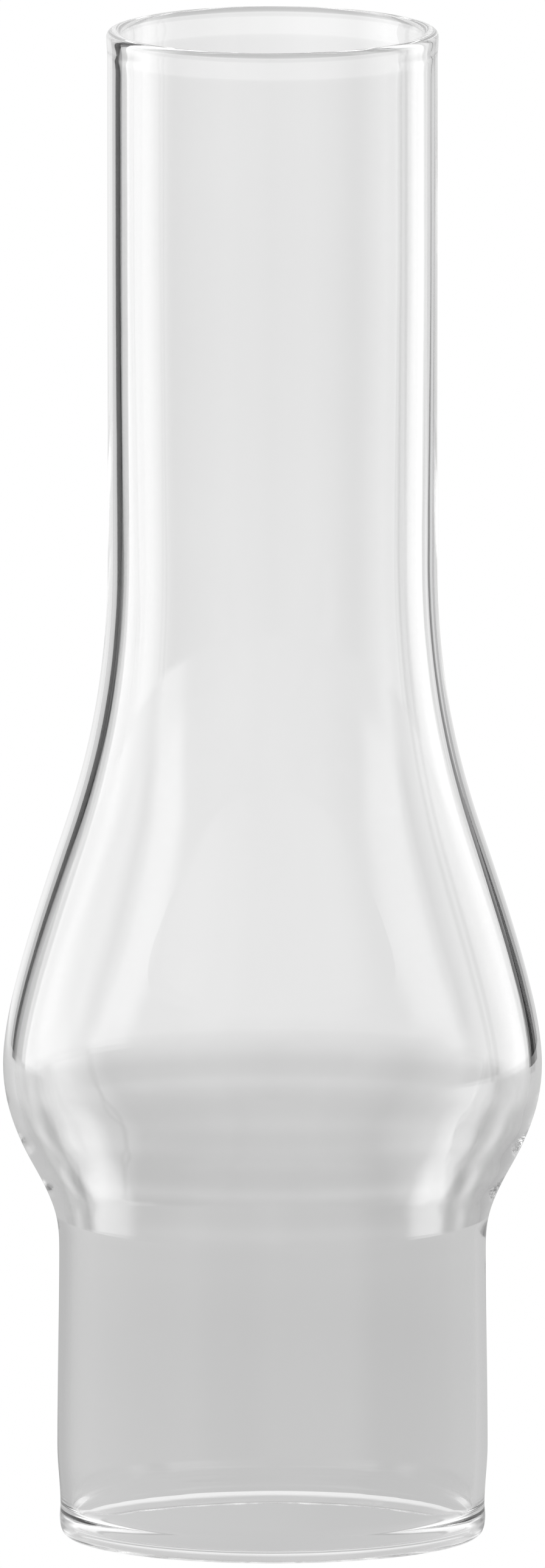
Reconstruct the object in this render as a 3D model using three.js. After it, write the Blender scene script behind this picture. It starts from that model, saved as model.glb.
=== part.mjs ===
// Clear blown glass chimney for an oil lamp, in millimetres, +Z up. The origin is the middle of the
// foot, on the surface that the chimney stands on.
//
// It is one body of revolution: a straight skirt that sits in the burner, a shoulder, a pear shaped
// bulb around the flame, a long flared neck and a straight flue, open at both ends. The outside is
// drawn from the foot to the lip as smooth spans that meet with one tangent. The inside follows it at
// the thickness of the glass, and both ends are fire polished to slightly thicker beads.

import * as THREE from 'three';

// Heights
const overallHeight = 266.7;
const skirtLength = 51.0;
const shoulderRise = 32.2; // from the top of the skirt to the widest place of the bulb
const neckRise = 89.8; // from the widest place of the bulb to the foot of the flue
const flueTaperLength = 47.0; // from the foot of the flue to where its wall stops thinning
const swellHeight = 15.7; // where the skirt is widest

// Outside diameters
const skirtFootDiameter = 74.45;
const swellDiameter = 75.55;
const skirtTopDiameter = 74.9;
const bulbDiameter = 94.62;
const flueFootDiameter = 57.84;
const flueTopDiameter = 58.06;

// Thickness of the glass, up the chimney
const skirtWall = 1.9;
const bulbWall = 1.95;
const bodyWall = 2.65; // at the steepest place above the bulb
const neckWall = 2.7;
const flueWall = 2.2;

// Foot rim, with a narrow flat land that the chimney stands on
const footDiameter = 74.75;
const footThickness = 2.9;
const footBeadHeight = 5.0;
const footRoundHeight = 1.6;
const landWidth = 0.8;

// Lip
const lipDiameter = 58.4;
const lipThickness = 2.7;
const lipBeadHeight = 5.0;
const lipRoundHeight = 1.9;

// The steepest place of the shoulder and of the body above the bulb: its share of the rise and of the
// change in radius from the station below to the one above, and its lean beside the straight line's
const shoulderFlexShares = { rise: 0.447, spread: 0.448, lean: 1.8 };
const bodyFlexShares = { rise: 0.428, spread: 0.517, lean: 1.642 };

// How far each curve's two handles reach along its end tangents, as shares of the span's length
const evenReachShares = [0.33, 0.33];
const shoulderFootReachShares = [0.383, 0.426];
const shoulderTopReachShares = [0.2, 0.437];
const bodyReachShares = [0.2, 0.498];
const neckReachShares = [0.2, 0.496];

// Fineness
const facetsAround = 60;
const crestSteps = 8;
const cornerSteps = 4;
const beadSteps = 3;

// A place on the outline. Its lean is how much the radius grows with each unit of height there.
function station(radius, height, lean = 0) {
  return { radius, height, lean };
}

// The steepest place between two stations, where the outline changes from hollow to full
function flexBetween(low, high, shares) {
  const rise = high.height - low.height;
  const spread = high.radius - low.radius;
  return station(
    low.radius + spread * shares.spread,
    low.height + rise * shares.rise,
    (spread / rise) * shares.lean,
  );
}

// A place on the straight line between two stations
function stationBetween(low, high, height) {
  const lean = (high.radius - low.radius) / (high.height - low.height);
  return station(low.radius + (height - low.height) * lean, height, lean);
}

const foot = station(footDiameter / 2, footRoundHeight);
const skirtFoot = station(skirtFootDiameter / 2, footBeadHeight);
const swell = station(swellDiameter / 2, swellHeight);
const skirtTop = station(skirtTopDiameter / 2, skirtLength);
const bulb = station(bulbDiameter / 2, skirtTop.height + shoulderRise);
const flueFoot = station(flueFootDiameter / 2, bulb.height + neckRise);
const flueTop = station(flueTopDiameter / 2, overallHeight - lipBeadHeight);
const taperTop = stationBetween(flueFoot, flueTop, flueFoot.height + flueTaperLength);
const lip = station(lipDiameter / 2, overallHeight - lipRoundHeight);
const shoulderFlex = flexBetween(skirtTop, bulb, shoulderFlexShares);
const bodyFlex = flexBetween(bulb, flueFoot, bodyFlexShares);

// The spans between the two beads, from the bottom up, each with the steps that its curve needs
const wallSpans = [
  { from: skirtFoot, to: swell, reachShares: evenReachShares, steps: 3 },
  { from: swell, to: skirtTop, reachShares: evenReachShares, steps: 3 },
  { from: skirtTop, to: shoulderFlex, reachShares: shoulderFootReachShares, steps: 6 },
  { from: shoulderFlex, to: bulb, reachShares: shoulderTopReachShares, steps: 7 },
  { from: bulb, to: bodyFlex, reachShares: bodyReachShares, steps: 7 },
  { from: bodyFlex, to: flueFoot, reachShares: neckReachShares, steps: 6 },
  { from: flueFoot, to: taperTop, reachShares: evenReachShares, steps: 3 },
  { from: taperTop, to: flueTop, reachShares: evenReachShares, steps: 2 },
];

// The glass is thin where it was blown out the most, in the skirt and the bulb, and thickest in the
// neck. Its thickness eases from each of these places to the next.
const wallPlaces = [
  { height: skirtTop.height, wall: skirtWall },
  { height: bulb.height, wall: bulbWall },
  { height: bodyFlex.height, wall: bodyWall },
  { height: flueFoot.height, wall: neckWall },
  { height: taperTop.height, wall: flueWall },
];

// A curve from one station to another that leaves and arrives along their leans
function spanCurve({ from, to, reachShares }) {
  const start = new THREE.Vector2(from.radius, from.height);
  const end = new THREE.Vector2(to.radius, to.height);
  const length = start.distanceTo(end);
  const leave = new THREE.Vector2(from.lean, 1).setLength(length * reachShares[0]);
  const arrive = new THREE.Vector2(to.lean, 1).setLength(length * reachShares[1]);
  return new THREE.CubicBezierCurve(start, start.clone().add(leave), end.clone().sub(arrive), end);
}

// Thickness of the glass at a height
function wallAt(height) {
  const { lerp, smoothstep } = THREE.MathUtils;
  let wall = skirtWall;
  for (let i = 1; i < wallPlaces.length; i++) {
    const share = smoothstep(height, wallPlaces[i - 1].height, wallPlaces[i].height);
    wall = lerp(wall, wallPlaces[i].wall, share);
  }
  return wall;
}

// The outside of the wall over one span, and its inside, square to it at the thickness of the glass
function wallPoints(span) {
  const curve = spanCurve(span);
  const outside = curve.getPoints(span.steps);
  const inside = outside.map((point, step) => {
    const tangent = curve.getTangent(step / span.steps);
    const wall = wallAt(point.y);
    return new THREE.Vector2(point.x - tangent.y * wall, point.y + tangent.x * wall);
  });
  return { outside, inside };
}

// A bead's run from one station to another
function beadPoints(from, to) {
  return spanCurve({ from, to, reachShares: evenReachShares }).getPoints(beadSteps);
}

// One line of points out of runs that each start where the last one ends
function joined(...runs) {
  return runs.reduce((line, run) => [...line, ...run.slice(1)]);
}

// The whole cross-section, up the outside, over the lip and down the inside to the foot's land
function crossSection() {
  const wall = wallSpans.map(wallPoints);
  const outside = joined(...wall.map((run) => run.outside));
  const inside = joined(...wall.map((run) => run.inside)).reverse();

  const innerLip = station(lip.radius - lipThickness, lip.height);
  const innerFoot = station(foot.radius - footThickness, foot.height);
  const innerTop = station(inside[0].x, inside[0].y);
  const innerBottom = station(inside.at(-1).x, inside.at(-1).y);

  const halfLip = lipThickness / 2;
  const crest = new THREE.EllipseCurve(
    lip.radius - halfLip, lip.height, halfLip, lipRoundHeight, 0, Math.PI,
  ).getPoints(crestSteps);

  const cornerWidth = (footThickness - landWidth) / 2;
  const outerCorner = new THREE.EllipseCurve(
    foot.radius - cornerWidth, foot.height, cornerWidth, footRoundHeight, -Math.PI / 2, 0,
  ).getPoints(cornerSteps);
  const innerCorner = new THREE.EllipseCurve(
    innerFoot.radius + cornerWidth, foot.height, cornerWidth, footRoundHeight, Math.PI, Math.PI * 1.5,
  ).getPoints(cornerSteps);

  const land = [innerCorner.at(-1), outerCorner[0].clone()];
  return joined(
    outerCorner,
    beadPoints(foot, skirtFoot),
    outside,
    beadPoints(flueTop, lip),
    crest,
    beadPoints(innerTop, innerLip).reverse(),
    inside,
    beadPoints(innerFoot, innerBottom).reverse(),
    innerCorner,
    land,
  );
}

const clearGlass = new THREE.MeshStandardMaterial({
  color: 0xf3f6f5,
  roughness: 0.04,
  metalness: 0,
  transparent: true,
  opacity: 0.35,
});

// A lathe turns its outline about +Y, so the body is stood up on +Z
const chimneyBody = new THREE.LatheGeometry(crossSection(), facetsAround).rotateX(Math.PI / 2);
const glassChimney = new THREE.Mesh(chimneyBody, clearGlass);
glassChimney.name = 'glass_chimney';

const lampChimney = new THREE.Group();
lampChimney.add(glassChimney);

export default lampChimney;
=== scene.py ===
# %% [markdown]
# # A clear glass chimney for an oil lamp
#
# The chimney is one piece of blown glass, open at both ends. Nothing on it has a colour of its
# own. What the eye reads as its shape is the studio around it: a floor seen through the glass,
# grey close by and white further off, and bright strips and dark lines mirrored along its sides.
# So three things have to be right together: the outline, the thickness of the wall, and the light.
#
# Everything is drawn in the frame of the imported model. Sizes are written in millimetres, as a
# maker would, and become Blender's metres only where a mesh or a node takes them.

# %% Load the frame
import math

import bpy
import numpy as np
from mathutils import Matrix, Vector


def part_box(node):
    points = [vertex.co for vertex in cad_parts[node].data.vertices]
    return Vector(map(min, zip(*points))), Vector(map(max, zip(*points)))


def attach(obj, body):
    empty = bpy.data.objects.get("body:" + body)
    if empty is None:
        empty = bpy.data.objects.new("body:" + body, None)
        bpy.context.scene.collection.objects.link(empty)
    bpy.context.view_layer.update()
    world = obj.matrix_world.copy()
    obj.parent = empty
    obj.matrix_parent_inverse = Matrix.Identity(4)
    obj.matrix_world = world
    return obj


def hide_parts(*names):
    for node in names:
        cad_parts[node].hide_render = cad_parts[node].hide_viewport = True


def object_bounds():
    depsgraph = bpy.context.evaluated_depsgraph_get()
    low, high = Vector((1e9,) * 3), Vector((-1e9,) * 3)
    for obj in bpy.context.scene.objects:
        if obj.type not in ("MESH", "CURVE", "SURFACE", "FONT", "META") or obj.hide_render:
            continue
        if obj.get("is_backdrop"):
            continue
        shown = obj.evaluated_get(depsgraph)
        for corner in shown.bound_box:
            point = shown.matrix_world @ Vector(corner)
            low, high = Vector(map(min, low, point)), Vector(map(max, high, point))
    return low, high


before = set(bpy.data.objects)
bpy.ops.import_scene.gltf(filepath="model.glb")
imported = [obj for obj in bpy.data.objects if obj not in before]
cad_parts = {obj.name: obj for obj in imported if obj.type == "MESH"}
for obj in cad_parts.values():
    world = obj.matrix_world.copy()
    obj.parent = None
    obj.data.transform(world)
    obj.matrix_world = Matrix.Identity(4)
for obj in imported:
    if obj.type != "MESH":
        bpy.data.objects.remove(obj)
cad_low, cad_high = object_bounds()
MM = 0.001
print("CAD box in mm:", [round(side / MM, 2) for side in cad_high - cad_low])

# %% [markdown]
# ## The outline
#
# A glass blower shapes the chimney in a mould that turns about its axis, so one outline describes
# all of it. It could be drawn as a curve object with a screw modifier, but then the inside could
# not follow the outside at a measured distance. Here the outline is worked out from a few
# stations, with one smooth curve between each two. They have the sizes of the CAD model, apart
# from the two rims: the foot is rounder here and the lip is flatter.

# %% Stations of the outline, in millimetres
HEIGHT = 266.7
FOOT_ROUND, FOOT_BEAD = 3.2, 5.4  # how far up the foot's rounding and its thick bead reach
LIP_ROUND, LIP_BEAD = 1.2, 5.0  # how far down the lip's rounding and its thick bead reach

# A station is a radius, a height and a lean: how much the radius grows with each unit of height
FOOT = (74.75 / 2, FOOT_ROUND, 0.0)
SKIRT_FOOT = (74.45 / 2, FOOT_BEAD, 0.0)
SWELL = (75.55 / 2, 15.7, 0.0)
SKIRT_TOP = (74.9 / 2, 51.0, 0.0)
BULB = (94.62 / 2, 83.2, 0.0)
FLUE_FOOT = (57.84 / 2, 173.0, 0.0)
FLUE_TOP = (58.06 / 2, HEIGHT - LIP_BEAD, 0.0)
LIP = (58.4 / 2, HEIGHT - LIP_ROUND, 0.0)


def flex(low, high, rise_share, spread_share, lean_share):
    """The steepest place between two stations, where the outline turns from hollow to full."""
    rise, spread = high[1] - low[1], high[0] - low[0]
    return (low[0] + spread * spread_share, low[1] + rise * rise_share, spread / rise * lean_share)


SHOULDER = flex(SKIRT_TOP, BULB, rise_share=0.447, spread_share=0.448, lean_share=1.8)
BODY = flex(BULB, FLUE_FOOT, rise_share=0.428, spread_share=0.517, lean_share=1.642)
print("steepest places:", [round(value, 2) for value in SHOULDER + BODY])

# %% [markdown]
# Each span between two stations is a cubic curve whose handles lie along the leans of its ends, so
# neighbouring spans meet without a kink. A kink of a degree would show as a bent highlight on
# glass. Straight steps between measured points would be quicker to write, and would have one at
# each point.

# %% Smooth spans between the stations
WALL_SPACING, RIM_SPACING = 1.25, 0.6  # rough distance between points, in millimetres


def span(low, high, leave_share=0.33, arrive_share=0.33, spacing=WALL_SPACING):
    """Points from one station to another. The shares say how far the curve's handles reach."""
    start, end = np.array(low[:2]), np.array(high[:2])
    length = np.linalg.norm(end - start)
    leave = np.array([low[2], 1.0]) / math.hypot(low[2], 1.0) * length * leave_share
    arrive = np.array([high[2], 1.0]) / math.hypot(high[2], 1.0) * length * arrive_share
    t = np.linspace(0, 1, max(3, round(length / spacing)) + 1)[:, None]
    curve = (1 - t) ** 3 * start + 3 * (1 - t) ** 2 * t * (start + leave)
    curve += 3 * (1 - t) * t ** 2 * (end - arrive) + t ** 3 * end
    return curve


def joined(runs):
    """One line of points out of runs that each start where the last one ends."""
    return np.vstack([runs[0]] + [run[1:] for run in runs[1:]])


outside = joined([
    span(SKIRT_FOOT, SWELL),
    span(SWELL, SKIRT_TOP),
    span(SKIRT_TOP, SHOULDER, 0.383, 0.426),
    span(SHOULDER, BULB, 0.2, 0.437),
    span(BULB, BODY, 0.2, 0.498),
    span(BODY, FLUE_FOOT, 0.2, 0.496),
    span(FLUE_FOOT, FLUE_TOP),
])
print("points up the outside:", len(outside))

# %% [markdown]
# ## The wall
#
# The wall is thinnest at the shoulder and the bulb, where the glass was blown out the most, and
# thickest in the neck. A solidify modifier would give one thickness all over. Here the inside is
# set off square to the outside, by the thickness that each height has. The thickness matters as
# much as the outline: it sets how wide the bright bands are along the edges of the glass.

# %% The inside of the wall
WALLS = np.array([  # height and thickness
    (0.0, 1.95), (SKIRT_TOP[1], 1.85), (68.0, 1.8), (BULB[1], 1.95), (102.0, 2.3), (BODY[1], 2.62),
    (145.0, 2.72), (FLUE_FOOT[1], 2.7), (200.0, 2.4), (220.0, 2.22), (HEIGHT, 2.2),
])
EASING = 12.0  # millimetres


def wall_at(height):
    """Straight lines between the places above, averaged over the easing to either side."""
    near = np.linspace(-EASING, EASING, 25)
    weight = 1 + np.cos(near / EASING * math.pi)
    walls = np.interp(np.asarray(height)[..., None] + near, WALLS[:, 0], WALLS[:, 1])
    return (walls * weight).sum(axis=-1) / weight.sum()


wall = wall_at(outside[:, 1])
along = np.gradient(outside, axis=0)
along /= np.linalg.norm(along, axis=1)[:, None]
square = np.stack([-along[:, 1], along[:, 0]], axis=1)
inside = outside + square * wall[:, None]
print("least and most wall in mm:", round(wall.min(), 2), round(wall.max(), 2))

# %% [markdown]
# ## The rims
#
# Both ends were softened in a flame, so they are round and a little thicker than the wall. A bevel
# would give a round edge of the wall's own thickness. Here each rim is drawn as arcs, and a short
# bead eases it into the wall. The foot keeps a narrow flat land, because the chimney stands on it.
# A wider land, or a higher lip, would draw a thick bright line where the photograph has a thin
# one.

# %% The whole cross-section, up the outside and down the inside
FOOT_THICK, LAND, LIP_THICK = 2.9, 0.2, 2.7
CORNER_STEPS, LIP_STEPS = 7, 14


def arc(centre, width, height, start, end, steps):
    """Points along a part of an ellipse, between two angles in degrees."""
    turn = np.radians(np.linspace(start, end, steps + 1))
    return np.stack([centre[0] + width * np.cos(turn), centre[1] + height * np.sin(turn)], axis=1)


corner = (FOOT_THICK - LAND) / 2
inner_foot = (FOOT[0] - FOOT_THICK, FOOT[1], 0.0)
inner_lip = (LIP[0] - LIP_THICK, LIP[1], 0.0)
inner_bottom, inner_top = (*inside[0], 0.0), (*inside[-1], 0.0)
section = joined([
    arc((FOOT[0] - corner, FOOT[1]), corner, FOOT_ROUND, -90, 0, CORNER_STEPS),
    span(FOOT, SKIRT_FOOT, spacing=RIM_SPACING),
    outside,
    span(FLUE_TOP, LIP, spacing=RIM_SPACING),
    arc((LIP[0] - LIP_THICK / 2, LIP[1]), LIP_THICK / 2, LIP_ROUND, 0, 180, LIP_STEPS),
    span(inner_top, inner_lip, spacing=RIM_SPACING)[::-1],
    inside[::-1],
    span(inner_foot, inner_bottom, spacing=RIM_SPACING)[::-1],
    arc((inner_foot[0] + corner, FOOT[1]), corner, FOOT_ROUND, 180, 270, CORNER_STEPS),
])
print("points round the cross-section:", len(section))

# %% [markdown]
# ## Blown glass isn't even
#
# The mould leaves the outside nearly true, but the inside is shaped by breath alone. Its thickness
# drifts round the body, faint rings are left where the glass touched the mould at the shoulder,
# and drawn cords run down the flue. A bump map could fake these in the shading, but the light is
# bent by the true distance between the two faces, so they are moved in the mesh, by a few
# hundredths of a millimetre. Sums of slow waves do this, and fade out at the rims to keep those
# true.

# %% Slow waves and soft steps


def smooth(value, low, high):
    """0 below low and 1 above high, with a soft step."""
    t = np.clip((value - low) / (high - low), 0, 1)
    return t * t * (3 - 2 * t)


def waves(turn, height, seed, count, around, rise):
    """A sum of slow waves, between about -1 and 1. Two ranges say how often each wave comes round
    the glass, and how many millimetres up the glass it takes."""
    rng = np.random.default_rng(seed)
    total = np.zeros(np.broadcast(turn, height).shape)
    for _ in range(count):
        times = rng.integers(around[0], around[1] + 1)
        climb = rng.uniform(rise[0], rise[1])
        total += np.cos(times * turn + height / climb * 2 * math.pi + rng.uniform(0, 2 * math.pi))
    return total / math.sqrt(count * 2)


AROUND = 200
turn = np.linspace(0, 2 * math.pi, AROUND, endpoint=False)
print("columns round the glass:", AROUND)

# %% [markdown]
# Each face of the glass has its own share of the unevenness. The inside has all of it, and the
# outside only faint rings and cords. Every point moves square to the face that it lies on.

# %% Unevenness of the two faces, in millimetres
INSIDE_DRIFT, INSIDE_CORDS, INSIDE_RINGS = 0.04, 0.010, 0.036
OUTSIDE_CORDS, OUTSIDE_RINGS = 0.004, 0.012


def unevenness(turn, height, inner):
    off_rims = smooth(height, 3.0, 12.0) * (1 - smooth(height, HEIGHT - 10.0, HEIGHT - 2.5))
    shoulder = smooth(height, 44.0, 56.0) * (1 - smooth(height, 74.0, 82.0))
    flue = smooth(height, 120.0, 190.0)
    slow = waves(turn, height, seed=3, count=5, around=(1, 3), rise=(60.0, 160.0))
    rings = waves(turn, height, seed=11, count=3, around=(0, 1), rise=(7.5, 11.0))
    cords = waves(turn, height, seed=17, count=6, around=(9, 26), rise=(500.0, 1500.0))
    if inner:
        drift = INSIDE_DRIFT * slow + INSIDE_CORDS * cords * (0.4 + flue)
        return off_rims * (drift + INSIDE_RINGS * rings * shoulder)
    return off_rims * (OUTSIDE_RINGS * rings * shoulder + OUTSIDE_CORDS * cords * flue)


step = np.roll(section, -1, axis=0) - np.roll(section, 1, axis=0)
step /= np.linalg.norm(step, axis=1)[:, None]
outward = np.stack([step[:, 1], -step[:, 0]], axis=1)
moved = np.where(
    outward[:, 0:1] < 0,
    unevenness(turn, section[:, 1:2], inner=True),
    unevenness(turn, section[:, 1:2], inner=False),
)
print("most that a face moves in mm:", round(float(np.abs(moved).max()), 3))

# %% [markdown]
# ## The body of glass
#
# The cross-section is turned about the axis. A screw modifier would turn an even one, but here
# each column has its own unevenness, so the points are worked out first and then joined by
# four-sided faces. They run over both rims and close up, because light has to enter and leave one
# whole solid. At the widest place the points are held to the bulb's radius, so that the box stays
# the CAD's.

# %% Turn the cross-section into the body
radius = np.minimum(section[:, 0:1] + outward[:, 0:1] * moved, BULB[0])
level = section[:, 1:2] + outward[:, 1:2] * moved
points = np.stack([radius * np.cos(turn), radius * np.sin(turn), level], axis=2)
rows = len(section)


def corner_at(row, column):
    return row % rows * AROUND + column % AROUND


faces = [
    (corner_at(row, column), corner_at(row, column + 1),
     corner_at(row + 1, column + 1), corner_at(row + 1, column))
    for row in range(rows) for column in range(AROUND)
]
body = bpy.data.meshes.new("blown_glass_body")
body.from_pydata((points.reshape(-1, 3) * MM).tolist(), [], faces)
body.polygons.foreach_set("use_smooth", [True] * len(body.polygons))
body.update()
glass = bpy.data.objects.new("blown_glass_body", body)
bpy.context.collection.objects.link(glass)
print("faces:", len(body.polygons))

# %% [markdown]
# The CAD model has the chimney as one coarse solid. The fine body could be laid over it, but two
# walls of glass in one place would bend the light twice. So it takes the solid's place. Nothing on
# a chimney moves, so there is one body to ride on.

# %% Put it in the frame
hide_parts("glass_chimney")
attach(glass, "root")
solid_low, solid_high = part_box("glass_chimney")
print("box of the solid in mm:", [round(side / MM, 2) for side in solid_high - solid_low])

# %% [markdown]
# ## Writing materials as sums
#
# A material is a net of nodes. Wired by hand in a script it soon takes more lines than it has
# ideas. So one small class wraps a socket, and sums written with it add the Math nodes by
# themselves.

# %% A wrapped socket


class Wire:
    """An output that can be used in a sum. Each sign adds a Math node."""

    def __init__(self, net, socket):
        self.net, self.socket = net, socket

    def _sum(self, operation, a, b):
        return self.net.add("Math", {"operation": operation}, {0: a, 1: b})

    def __add__(self, other):
        return self._sum("ADD", self, other)

    def __radd__(self, other):
        return self._sum("ADD", other, self)

    def __sub__(self, other):
        return self._sum("SUBTRACT", self, other)

    def __rsub__(self, other):
        return self._sum("SUBTRACT", other, self)

    def __mul__(self, other):
        return self._sum("MULTIPLY", self, other)

    def __rmul__(self, other):
        return self._sum("MULTIPLY", other, self)

    def __gt__(self, other):
        return self._sum("GREATER_THAN", self, other)


print("signs that add a Math node: + - * >")

# %% [markdown]
# Every other node comes from one method, which takes the node's type, its settings and what goes
# into it. The settings come first, because they can change which sockets a node has. A black and
# white ramp is common here, so its stops are given as pairs of place and tone.

# %% A net of nodes


class Net:
    """The nodes of a material or of the world."""

    def __init__(self, owner):
        owner.use_nodes = True
        self.tree = owner.node_tree
        self.tree.nodes.clear()

    def add(self, kind, settings=None, inputs=None, output=0):
        """Add a node and return its output, or one for each name if output is a tuple of names."""
        node = self.tree.nodes.new("ShaderNode" + kind)
        for name, value in (settings or {}).items():
            if name == "stops":
                ramp = node.color_ramp
                while len(ramp.elements) < len(value):
                    ramp.elements.new(0.5)
                for element, (place, tone) in zip(ramp.elements, value):
                    element.position = place
                    element.color = (tone, tone, tone, 1)
            else:
                setattr(node, name, value)
        for name, value in (inputs or {}).items():
            if isinstance(value, Wire):
                self.tree.links.new(value.socket, node.inputs[name])
            else:
                node.inputs[name].default_value = value
        if isinstance(output, tuple):
            return tuple(Wire(self, node.outputs[name]) for name in output)
        return Wire(self, node.outputs[output]) if node.outputs else node

    def between(self, value, low, high):
        """0 below low and 1 above high, with a soft step."""
        return self.add("MapRange", {"interpolation_type": "SMOOTHSTEP"},
                        {"Value": value, "From Min": low, "From Max": high})


print("most stops that a ramp can hold: 32")

# %% [markdown]
# ## Clear glass
#
# Lamp glass is colourless soda glass with a fire polished skin. The shader's own transmission with
# an index of 1.5 bends the light as the real wall does, where a see-through shader would only let
# it pass. Handling leaves smudges that only show as a breath of roughness, and the skin of blown
# glass has a shallow orange-peel that only shows in the highlights.

# %% Glass material
SMUDGE_SCALE, SKIN_SCALE = 38.0, 90.0  # spots to a metre
SMUDGE_ROUGHNESS = 0.01

material = bpy.data.materials.new("clear_blown_glass")
net = Net(material)
where = net.add("TexCoord", output="Object")
smudges = net.add("TexNoise", {}, {"Vector": where, "Scale": SMUDGE_SCALE, "Detail": 4.0})
skin = net.add("TexNoise", {}, {"Vector": where, "Scale": SKIN_SCALE, "Detail": 1.0})
tint = net.add("ValToRGB", {"stops": [(0.0, 0.96), (1.0, 0.985)]}, {"Fac": smudges})
bump = net.add("Bump", {}, {"Height": skin, "Strength": 0.05, "Distance": 0.2 * MM})
shader = net.add("BsdfPrincipled", {}, {
    "Base Color": tint,
    "Roughness": net.between(smudges, 0.5, 0.9) * SMUDGE_ROUGHNESS,
    "IOR": 1.5,
    "Transmission Weight": 1.0,
    "Normal": bump,
})
net.add("OutputMaterial", {}, {"Surface": shader})
glass.data.materials.append(material)
print("glass material nodes:", len(material.node_tree.nodes))

# %% [markdown]
# ## The studio
#
# The photograph is a product shot on white. Everything in it that isn't glass was cleared to clean
# white, but the glass still shows the greys of the room. One set of lamps can't do both. So each
# thing in the studio asks what sort of ray has met it. A ray from the camera sees white. A ray
# that the glass has only let through and bent sees the floor and the backdrop. One that was
# mirrored in the glass, on its skin or inside its wall, sees the light tent.

# %% Sorts of rays


def ray_sorts(net):
    """1 for a ray from the camera, and 1 for a ray that the glass has mirrored."""
    camera, mirrors = net.add("LightPath", output=("Is Camera Ray", "Glossy Depth"))
    return camera, mirrors > 0.5


def white_to_camera(level, from_camera):
    return level * (1 - from_camera) + from_camera


def mirrored_only(net, level):
    """Light of this level for mirrored rays. All other rays pass."""
    _, mirrored = ray_sorts(net)
    net.add("OutputMaterial", {}, {"Surface": net.add("MixShader", {}, {
        0: mirrored,
        1: net.add("BsdfTransparent"),
        2: net.add("Emission", {}, {"Color": level}),
    })})


print("sorts of rays: from the camera, let through, mirrored")

# %% [markdown]
# ## The backdrop
#
# The camera looks down, so straight through the glass it sees only the floor. The backdrop shows
# where the wall bends the light upwards. The round rim of the foot works as a prism, and draws the
# thin white band at the back of the foot out of the lowest and whitest part of the backdrop. Seen
# from lower down, the backdrop also stands behind the flue. It could be a curved sheet, but the
# world is simpler to shade, by height alone, and is at the same angle for all of the glass.

# %% Backdrop
BACKDROP_FOOT, MIRRORED_BACKDROP = 0.95, 0.8
FALLS = [(0.33, 4, 11), (0.12, 34, 38)]  # how much darker, between two heights in degrees

world = bpy.data.worlds.new("studio")
bpy.context.scene.world = world
net = Net(world)
from_camera, mirrored = ray_sorts(net)
up = net.add("SeparateXYZ", {}, {"Vector": net.add("TexCoord", output="Generated")}, output="Z")
degrees_up = net.add("Math", {"operation": "ARCSINE"}, {0: up}) * (180 / math.pi)
backdrop = BACKDROP_FOOT
for fall, start, end in FALLS:
    backdrop = backdrop - fall * net.between(degrees_up, start, end)
seen = MIRRORED_BACKDROP * mirrored + backdrop * (1 - mirrored)
seen = white_to_camera(seen, from_camera)
net.add("OutputWorld", {}, {"Surface": net.add("Background", {}, {"Color": seen})})
print("backdrop nodes:", len(world.node_tree.nodes))

# %% [markdown]
# ## The floor
#
# The skirt shows the floor close by, and the flue the floor more than a metre behind. It is grey
# near the glass and white further off, and the step between the two draws the soft horizon across
# the bulb. A lit plane would need a lamp for each of its greys. Here the disc shines by itself, at
# a level for each distance from the axis.

# %% Floor
FLOOR_RADIUS = 2.5
FLOOR_LEVELS = [  # metres from the axis and level
    (0.0, 0.58), (0.25, 0.56), (0.40, 0.59), (0.53, 0.64), (0.60, 0.67), (0.66, 0.76),
    (0.72, 0.88), (1.0, 0.88), (1.3, 0.86), (1.9, 0.88), (2.4, 0.95),
]

bpy.ops.mesh.primitive_circle_add(vertices=128, radius=FLOOR_RADIUS, fill_type="NGON")
floor = bpy.context.object
floor.name = "studio_floor"
floor_material = bpy.data.materials.new("pale_floor")
net = Net(floor_material)
where = net.add("TexCoord", output="Object")
reach = net.add("VectorMath", {"operation": "LENGTH"}, {0: where}, output="Value")
stops = [(far / FLOOR_RADIUS, tone) for far, tone in FLOOR_LEVELS]
level = net.add("ValToRGB", {"stops": stops}, {"Fac": reach * (1 / FLOOR_RADIUS)})
print("levels of the floor:", len(stops))

# %% [markdown]
# Inside the front of the foot, the photograph shows a light crescent on the floor with a thin
# darker line along its inner edge, probably light that the thick rim gathers there. It could be
# left to the renderer, but this floor shines by itself and takes no light. So the crescent is
# painted light and the line inside it is painted shade. Both are set by the distance from the axis
# and faded out at the back.

# %% Light that the foot gathers on the floor
# How bright the painted light of the crescent is, and how dark the painted shade of the line
# inside it is
CRESCENT_LIGHT, EDGE_SHADE = 0.32, 0.14
# From where to where each fades in or out, in millimetres from the axis
EDGE_STARTS, CRESCENT_STARTS, CRESCENT_ENDS = (29.4, 30.2), (30.6, 31.6), (34.5, 37.5)
BACK_STARTS = (-6, 10)  # counted towards the back


def past(net, distance, fade):
    """0 before a fade and 1 past it. The fade is in millimetres."""
    return net.between(distance, fade[0] * MM, fade[1] * MM)


front = 1 - past(net, net.add("SeparateXYZ", {}, {"Vector": where}, output="Y"), BACK_STARTS)
past_edge = past(net, reach, CRESCENT_STARTS)
painted_light_crescent = past_edge * (1 - past(net, reach, CRESCENT_ENDS)) * front
painted_shade_line = past(net, reach, EDGE_STARTS) * (1 - past_edge) * front
# The painted light of the crescent is added to the floor's level, and the painted shade of the
# line is taken from it
level = level + CRESCENT_LIGHT * painted_light_crescent - EDGE_SHADE * painted_shade_line

from_camera, mirrored = ray_sorts(net)
level = white_to_camera(level, from_camera)
net.add("OutputMaterial", {}, {"Surface": net.add("MixShader", {}, {
    0: mirrored,
    1: net.add("Emission", {}, {"Color": level}),
    2: net.add("BsdfTransparent"),
})})
floor.data.materials.append(floor_material)
floor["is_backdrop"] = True
print("floor nodes:", len(floor_material.node_tree.nodes))

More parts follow.
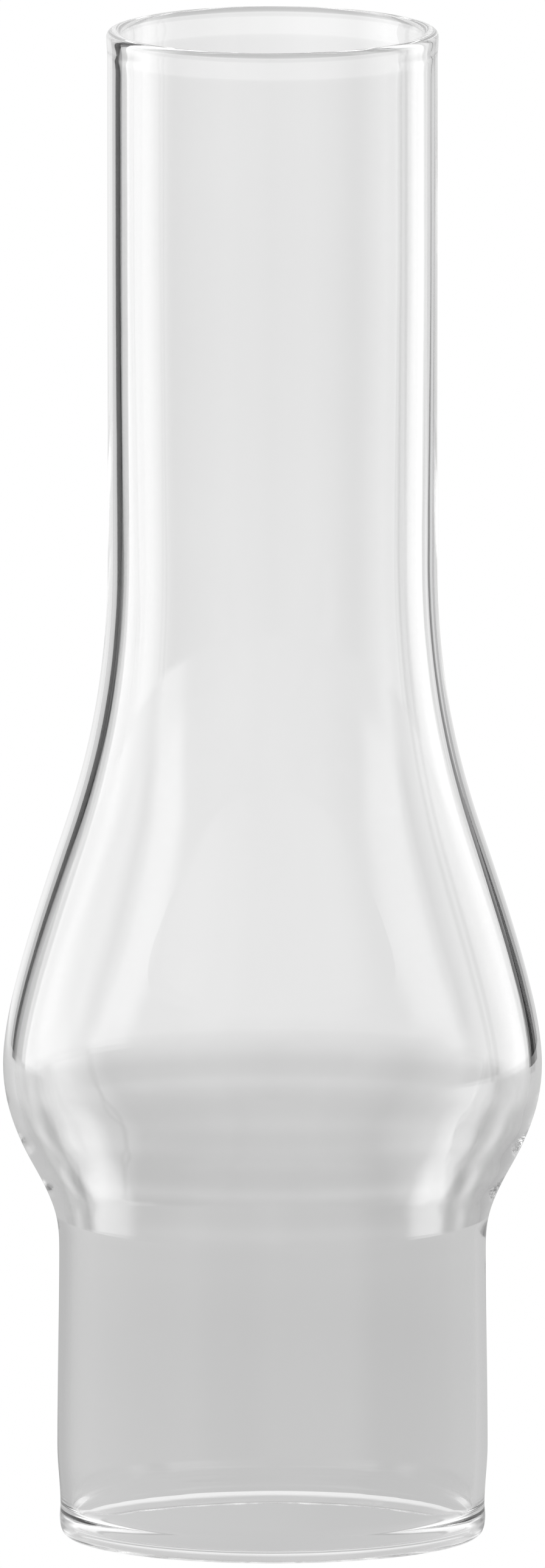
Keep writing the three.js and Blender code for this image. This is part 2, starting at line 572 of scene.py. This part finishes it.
# %% [markdown]
# ## The light tent
#
# The bright strips and dark lines along the glass are mirror images of what stands beside it.
# Things far away would sit at the same angle on the flue and on the bulb, but in the photograph
# they don't, so they stood close, about 185 mm from the axis. Area lights could stand there, but
# their soft edges are hard to set one by one. Here a round tent is painted with light, by the
# angle round the glass, and only mirrored rays see it. Angles are in degrees, 0 behind the glass
# and growing to the right.

# %% Places and levels round the axis
BRIGHTEST = 2.5  # a ramp's colours end at 1, so levels are kept as shares of this
TENT_RADIUS, TENT_HEIGHT = 185.0, 450.0


def tent_point(angle, height, radius=TENT_RADIUS):
    turn = math.radians(angle)
    return (radius * math.sin(turn) * MM, radius * math.cos(turn) * MM, height * MM)


def angle_and_height(net):
    """The angle round the axis in degrees, and the height in metres."""
    where = net.add("TexCoord", output="Object")
    x, y, z = net.add("SeparateXYZ", {}, {"Vector": where}, output=("X", "Y", "Z"))
    return net.add("Math", {"operation": "ARCTAN2"}, {0: x, 1: y}) * (180 / math.pi), z


def round_ramp(net, angle, levels):
    """The level at an angle, from pairs of angle and level."""
    stops = [((at + 180) / 360, level / BRIGHTEST) for at, level in levels]
    return net.add("ValToRGB", {"stops": stops}, {"Fac": angle * (1 / 360) + 0.5}) * BRIGHTEST


print("the tent's rightmost point in metres:", [round(side, 3) for side in tent_point(90, 0)])

# %% [markdown]
# The tent is a plain wall with a bottom. It isn't part of the object, so it is given to the frame
# as stage. The black cards further down are made with the same helper.

# %% Walls of the stage
SIDES = 128


def stage_mesh(name, points, faces, material):
    mesh = bpy.data.meshes.new(name)
    mesh.from_pydata(points, [], faces)
    mesh.materials.append(material)
    thing = bpy.data.objects.new(name, mesh)
    bpy.context.collection.objects.link(thing)
    thing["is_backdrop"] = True


def drum(name, radius, low, high, material):
    """A round wall with a bottom and no lid."""
    rim = [360 * i / SIDES for i in range(SIDES)]
    points = [tent_point(at, height, radius) for height in (low, high) for at in rim]
    wall = [(i, (i + 1) % SIDES, SIDES + (i + 1) % SIDES, SIDES + i) for i in range(SIDES)]
    stage_mesh(name, points, wall + [tuple(range(SIDES))], material)
    print(name, "stands", radius, "mm from the axis")


# %% [markdown]
# The bulb mirrors the upper part of the tent, and the shoulder the lower part, where the strips
# stand at other angles. The lowest part is seen only in the hollow below the shoulder. One ring of
# levels would be simpler, but would set the strips at the same angles everywhere. So there are
# three, each as pairs of angle and level.

# %% Levels round the tent
HIGH_LEVELS = [
    (-180, 0.50), (-160, 0.85), (-130, 0.88), (-110, 0.50), (-104, 0.65), (-96, 1.10), (-84, 1.60),
    (-74, 1.95), (-67, 1.50), (-61, 1.35), (-57.5, 1.60), (-57, 0.40), (-46, 0.40), (-37, 0.60),
    (-28, 0.95), (0, 0.75), (20, 0.80), (27, 0.55), (34, 0.55), (42, 0.85), (49, 0.60), (50, 1.30),
    (60, 1.75), (66, 1.35), (78, 0.75), (78.6, 0.0), (80.6, 0.0), (81.2, 0.95), (91, 0.10),
    (116, 0.0), (150, 0.30), (180, 0.50),
]
LOW_LEVELS = [
    (-180, 0.75), (-144, 0.83), (-116, 0.74), (-104, 0.87), (-92, 1.10), (-86, 1.55), (-80, 1.90),
    (-74, 1.75), (-71, 0.85), (-56, 0.80), (-48, 0.75), (-38, 0.65), (-28, 0.58), (0, 0.55),
    (26, 0.60), (40, 0.60), (48, 0.65), (60, 0.92), (68, 0.40), (77, 0.40), (81, 1.60), (88, 1.90),
    (100, 1.50), (106, 0.50), (116, 0.10), (168, 0.50), (180, 0.75),
]
BOTTOM_LEVELS = [
    (-180, 0.75), (-144, 0.80), (-118, 0.60), (-108, 0.65), (-103, 1.40), (-98, 2.00), (-88, 2.20),
    (-79, 2.20), (-75, 1.60), (-72, 0.35), (-66, 0.22), (-60, 0.95), (-56, 0.85), (-52, 0.45),
    (-40, 0.55), (0, 0.55), (30, 0.50), (46, 0.42), (58, 0.32), (65, 0.90), (68, 0.80), (73, 0.25),
    (79, 0.22), (81.5, 0.80), (84, 1.90), (90, 2.25), (100, 2.20), (105, 1.50), (109, 0.45),
    (120, 0.25), (168, 0.50), (180, 0.75),
]
print("stops in the three rings:", len(HIGH_LEVELS), len(LOW_LEVELS), len(BOTTOM_LEVELS))

# %% [markdown]
# The three rings blend into each other at the heights where the photograph changes: fast at the
# bulb's widest place, where the strips break off, and slowly below the shoulder.

# %% Tent
TENT_LOW = -0.3
BOTTOM_ENDS, HIGH_STARTS = (15, 50), (70.5, 74)  # heights of the two blends

tent_light = bpy.data.materials.new("tent_light")
net = Net(tent_light)
angle, height_up = angle_and_height(net)
high_up = past(net, height_up, HIGH_STARTS)
bottom = 1 - past(net, height_up, BOTTOM_ENDS)
high, low = round_ramp(net, angle, HIGH_LEVELS), round_ramp(net, angle, LOW_LEVELS)
low = low * (1 - bottom) + round_ramp(net, angle, BOTTOM_LEVELS) * bottom
mirrored_only(net, high * high_up + low * (1 - high_up))
drum("light_tent", TENT_RADIUS, TENT_LOW, TENT_HEIGHT, tent_light)

# %% [markdown]
# ## The collar
#
# The skirt shows none of the bright strips. They stop where the shoulder begins, as if something
# stood close round the skirt. Painting the tent grey there doesn't do it, because the shoulder
# needs the same part of the tent bright. So a low grey collar stands close round the skirt. Its
# lowest millimetres light the rim of the foot.

# %% Collar
COLLAR_RADIUS, COLLAR_LOW, COLLAR_HEIGHT = 41.0, -0.2, 54.2
FOOT_LIGHT_ENDS = (1.5, 4.5)  # heights of the blend above the foot's light
COLLAR_LEVELS = [
    (-180, 0.75), (-152, 0.90), (-128, 1.00), (-116, 0.98), (-106, 0.82), (-99, 0.66), (-91, 0.52),
    (-80, 0.50), (-60, 0.50), (0, 0.58), (66, 0.58), (82, 0.58), (99, 0.64), (111, 0.70),
    (122, 0.64), (132, 0.54), (160, 0.52), (180, 0.75),
]
FOOT_LEVELS = [
    (-180, 0.60), (-140, 0.85), (-118, 1.30), (-96, 1.40), (-86, 0.45), (-78, 0.35), (-70, 0.80),
    (-60, 1.20), (-46, 0.50), (0, 0.35), (46, 0.50), (60, 1.10), (70, 0.70), (76, 0.25),
    (86, 0.30), (96, 1.30), (118, 1.30), (140, 0.85), (180, 0.60),
]

collar_light = bpy.data.materials.new("collar_light")
net = Net(collar_light)
angle, height_up = angle_and_height(net)
foot = 1 - past(net, height_up, FOOT_LIGHT_ENDS)
collar_tone = round_ramp(net, angle, COLLAR_LEVELS) * (1 - foot)
mirrored_only(net, collar_tone + round_ramp(net, angle, FOOT_LEVELS) * foot)
drum("grey_collar", COLLAR_RADIUS, COLLAR_LOW, COLLAR_HEIGHT, collar_light)

# %% [markdown]
# ## Black cards
#
# Clear glass on white loses its edge, so photographers hang black cards behind it, just out of the
# frame. The thick edge of the wall gathers each into a thin dark line. Dark gaps in the tent would
# do the same, but a card has corners that can be moved one by one, and its width at each height
# sets how wide the line is there. The right card is a narrow strip above and wide only at its
# foot, where the dark line swells beside the bulb.

# %% Cards
CARD_RADIUS, CARD_BLACK = TENT_RADIUS - 3, (0.02, 0.02, 0.02, 1.0)
CARDS = {  # corners, each an angle and a height
    "left_card": [(-57, 345), (-57, 152), (-50, 136), (-47.5, 110), (-46, 73), (-40, 73),
                  (-38.5, 100), (-37.5, 130), (-37, 345)],
    "right_card": [(31, 300), (31, 150), (33, 128), (32.5, 100), (32, 70), (46, 70), (45.5, 88),
                   (44, 106), (42, 123), (38, 137), (36.5, 165), (34, 190), (32.5, 230),
                   (32.5, 300)],
}

black = bpy.data.materials.new("black_card")
mirrored_only(Net(black), CARD_BLACK)
for name, corners in CARDS.items():
    points = [tent_point(at, up_to, CARD_RADIUS) for at, up_to in corners]
    stage_mesh(name, points, [tuple(range(len(points)))], black)
print("cards:", len(CARDS))

# %% [markdown]
# ## The camera
#
# Both rims show as flat ellipses of nearly the same fullness, so the photograph was taken from far
# away with a long lens, looking down by about 8.5 degrees. A camera without perspective gives
# that. A small shift puts the glass at the photograph's height in the frame.

# %% Camera
TILT = math.radians(8.5)
SCALE = 9.363  # pixels of the photograph to a millimetre
PHOTO_HEIGHT = 2576  # pixels
SHIFT, DISTANCE = -0.45 * MM, 2.0

camera_data = bpy.data.cameras.new("camera")
camera = bpy.data.objects.new("camera", camera_data)
bpy.context.collection.objects.link(camera)
bpy.context.scene.camera = camera
camera_data.type = "ORTHO"
camera_data.ortho_scale = PHOTO_HEIGHT / SCALE * MM
camera_data.shift_y = SHIFT / camera_data.ortho_scale
centre = (cad_low + cad_high) / 2
back = Vector((0, -math.cos(TILT), math.sin(TILT)))
camera.location = centre + back * DISTANCE
camera.rotation_euler = (-back).to_track_quat("-Z", "Y").to_euler()
print("camera at", [round(side, 3) for side in camera.location])

# %% [markdown]
# ## Colour and long light paths
#
# The greys of the photograph are plain ones, so the view adds no film curve. Light that enters a
# rim runs inside the wall from end to end, mirrored over and over, as in a light guide. That is
# what makes real rims bright. The usual dozen bounces would end it early and leave both rims
# black, so the paths are let run long, which costs little time because few of them do. Caustics
# stay on, because light that reaches one side of the glass through the other counts too.

# %% View and light paths
scene = bpy.context.scene
scene.view_settings.view_transform = "Standard"
scene.cycles.max_bounces = 300
scene.cycles.glossy_bounces = 256
scene.cycles.transmission_bounces = 64
scene.cycles.caustics_reflective = True
scene.cycles.caustics_refractive = True
print("longest light path:", scene.cycles.max_bounces, "bounces")

# %% [markdown]
# ## Sizes
#
# The finished glass has to keep the CAD's size. Both boxes are printed, to compare them.

# %% Sizes
low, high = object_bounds()
print("visual box in mm:", [round(side / MM, 2) for side in high - low])
